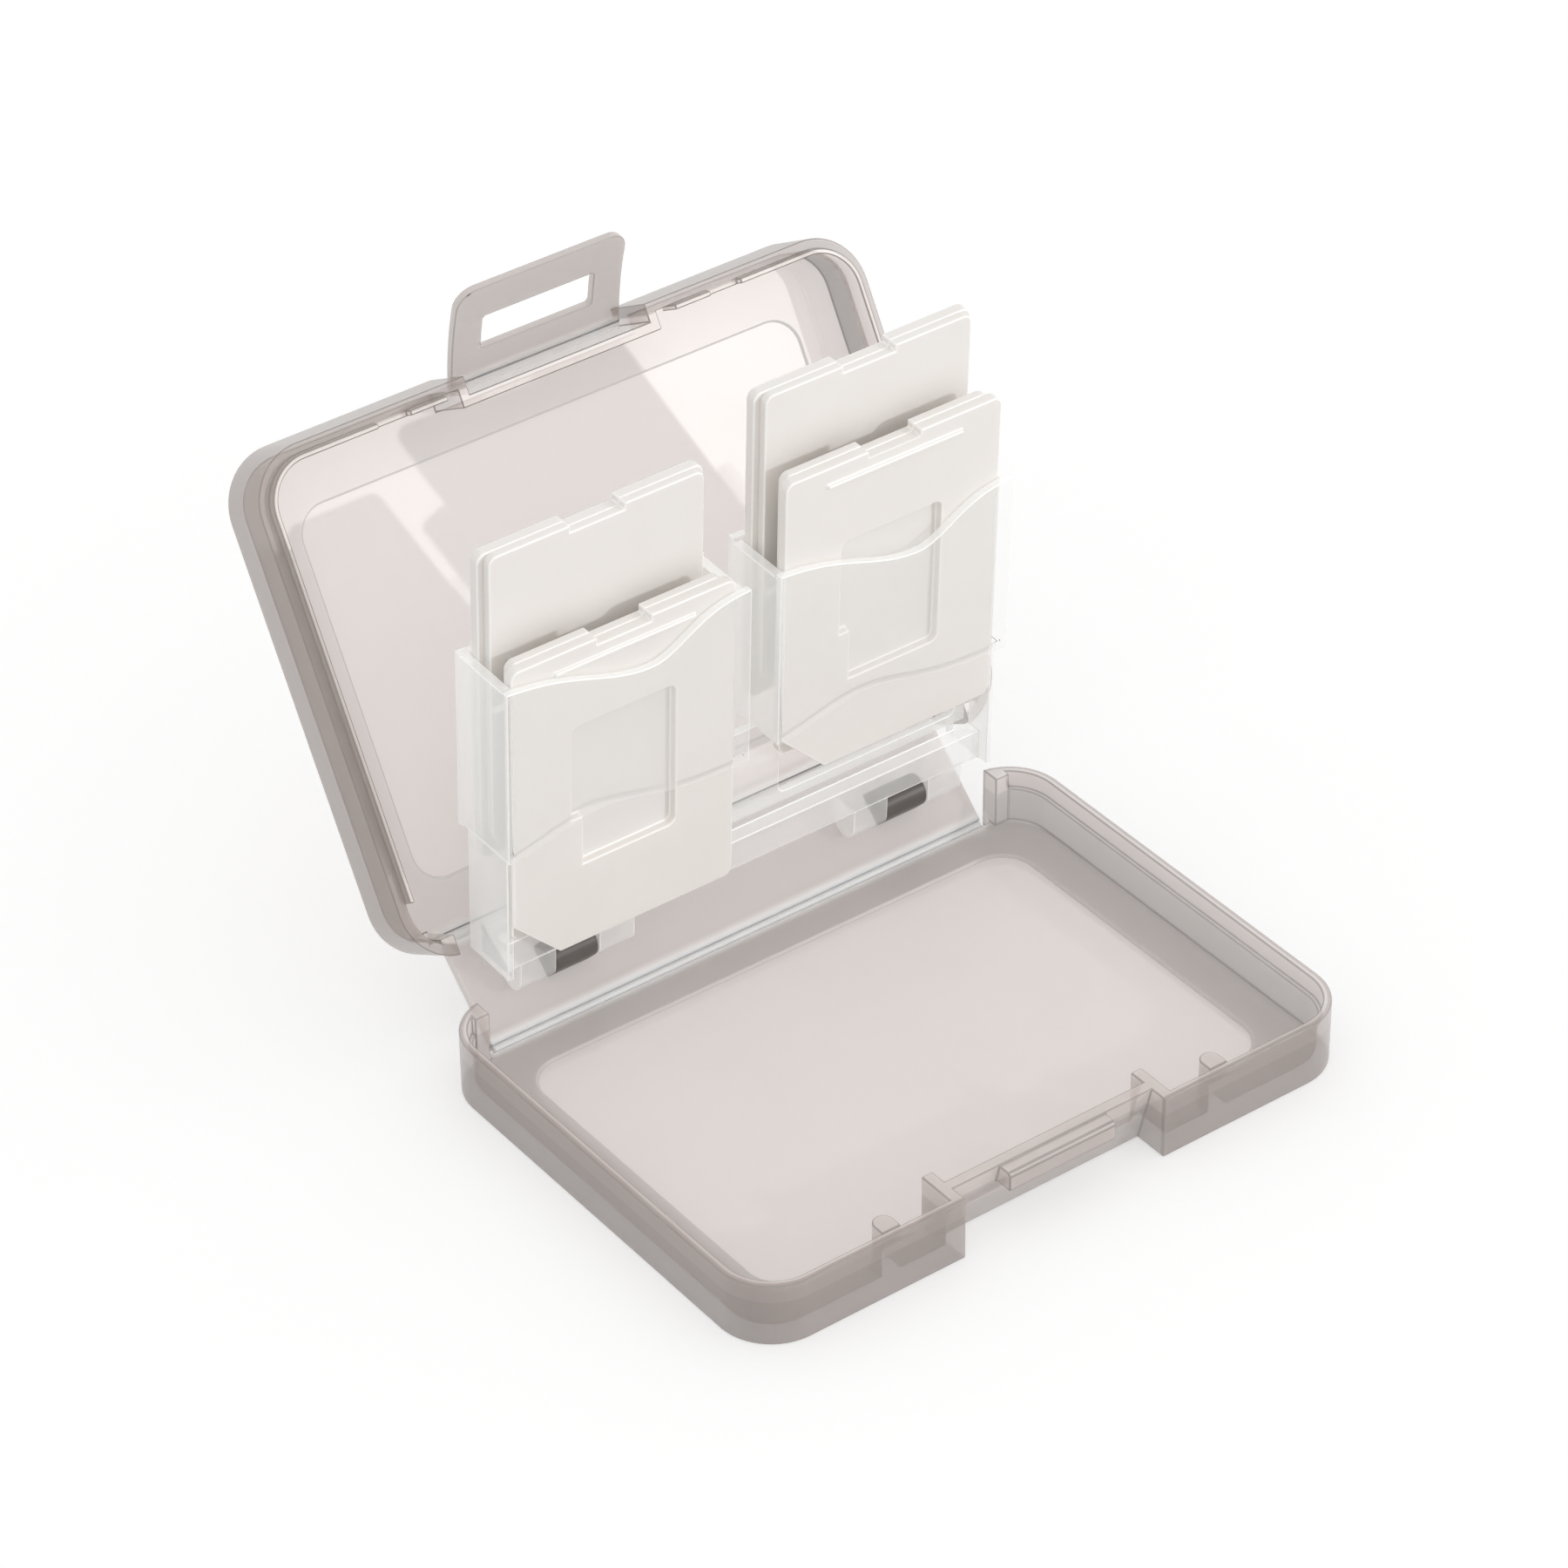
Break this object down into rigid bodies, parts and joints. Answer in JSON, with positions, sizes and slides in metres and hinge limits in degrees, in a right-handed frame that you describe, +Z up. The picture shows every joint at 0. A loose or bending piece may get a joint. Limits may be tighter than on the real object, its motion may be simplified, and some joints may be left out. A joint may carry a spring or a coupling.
{
  "type": "memory card case",
  "caption": "Hinged pocket case with a slotted latch tab; a clear tray swings on its spine and holds slide-in inserts for small memory cards.",
  "frame": {"origin": "middle of the flat bottom face of the base", "axes": "+X along the hinge lines to the right, +Y from the latch to the hinge, +Z up; the case stands open as in use"},
  "size_m": [0.0666, 0.0798, 0.0595],
  "materials": {
    "smoke": "smoke translucent polypropylene, satin",
    "film": "stress-whitened hinge film",
    "lug": "dark smoke, glossy",
    "clear": "clear, lightly frosted",
    "insert": "warm white, satin"
  },
  "bodies": {
    "base": {"base_shell": "smoke", "catch_bar": "smoke", "front_rib_left": "smoke", "front_rib_right": "smoke", "base_hinge_film": "film"},
    "spine": {"spine_panel": "smoke", "tray_lug_left": "lug", "tray_lug_right": "lug", "lid_hinge_film": "film"},
    "lid": {"lid_shell": "smoke", "lid_lip_left": "smoke", "lid_lip_right": "smoke", "latch_hinge_film": "film"},
    "latch": {"latch_tab": "smoke"},
    "tray": {"tray_rail": "clear", "tray_centre_wall": "clear", "tray_side_left": "clear", "tray_side_right": "clear", "tray_divider_left": "clear", "tray_divider_right": "clear", "pocket_front_left": "clear", "pocket_front_right": "clear", "pocket_back_left": "clear", "pocket_back_right": "clear", "knuckle_left_outer": "clear", "knuckle_left_inner": "clear", "knuckle_right_inner": "clear", "knuckle_right_outer": "clear", "hinge_pin_left": "clear", "hinge_pin_right": "clear"},
    "insert_front_left": {"insert_front_left_face": "insert", "insert_front_left_back": "insert"},
    "insert_front_right": {"insert_front_right_face": "insert", "insert_front_right_back": "insert"},
    "insert_back_left": {"insert_back_left_face": "insert", "insert_back_left_back": "insert"},
    "insert_back_right": {"insert_back_right_face": "insert", "insert_back_right_back": "insert"}
  },
  "joints": [
    {"name": "fold", "type": "hinge", "parent": "base", "child": "spine", "pos_m": [0, 0.0232, 0.00105], "axis": [-1, 0, 0], "range_deg": [-46.14, 40]},
    {"name": "lid_hinge", "type": "hinge", "parent": "spine", "child": "lid", "pos_m": [0, 0.03099, 0.00853], "axis": [-1, 0, 0], "range_deg": [-74.21, 15.79]},
    {"name": "latch_hinge", "type": "hinge", "parent": "lid", "child": "latch", "pos_m": [0, 0.05376, 0.04862], "axis": [-1, 0, 0], "range_deg": [-49.65, 40]},
    {"name": "tray_hinge", "type": "hinge", "parent": "spine", "child": "tray", "pos_m": [0.0011, 0.02557, 0.00638], "axis": [-1, 0, 0], "range_deg": [-41.4, 9]},
    {"name": "slide_front_left", "type": "slide", "parent": "tray", "child": "insert_front_left", "axis": [0, -0.0433, 0.9991], "range_m": [0, 0.025]},
    {"name": "slide_front_right", "type": "slide", "parent": "tray", "child": "insert_front_right", "axis": [0, -0.0433, 0.9991], "range_m": [-0.00764, 0.01736]},
    {"name": "slide_back_left", "type": "slide", "parent": "tray", "child": "insert_back_left", "axis": [0, -0.0433, 0.9991], "range_m": [-0.0096, 0.00204]},
    {"name": "slide_back_right", "type": "slide", "parent": "tray", "child": "insert_back_right", "axis": [0, -0.0433, 0.9991], "range_m": [-0.01451, 0.0105]}
  ],
  "couplings": [
    {"joint": "lid_hinge", "follows": "slide_back_left", "rad_per_m": 134.9},
    {"joint": "tray_hinge", "follows": "slide_back_left", "rad_per_m": 75.22},
    {"joint": "slide_back_right", "follows": "slide_back_left", "ratio": 1.5104}
  ]
}
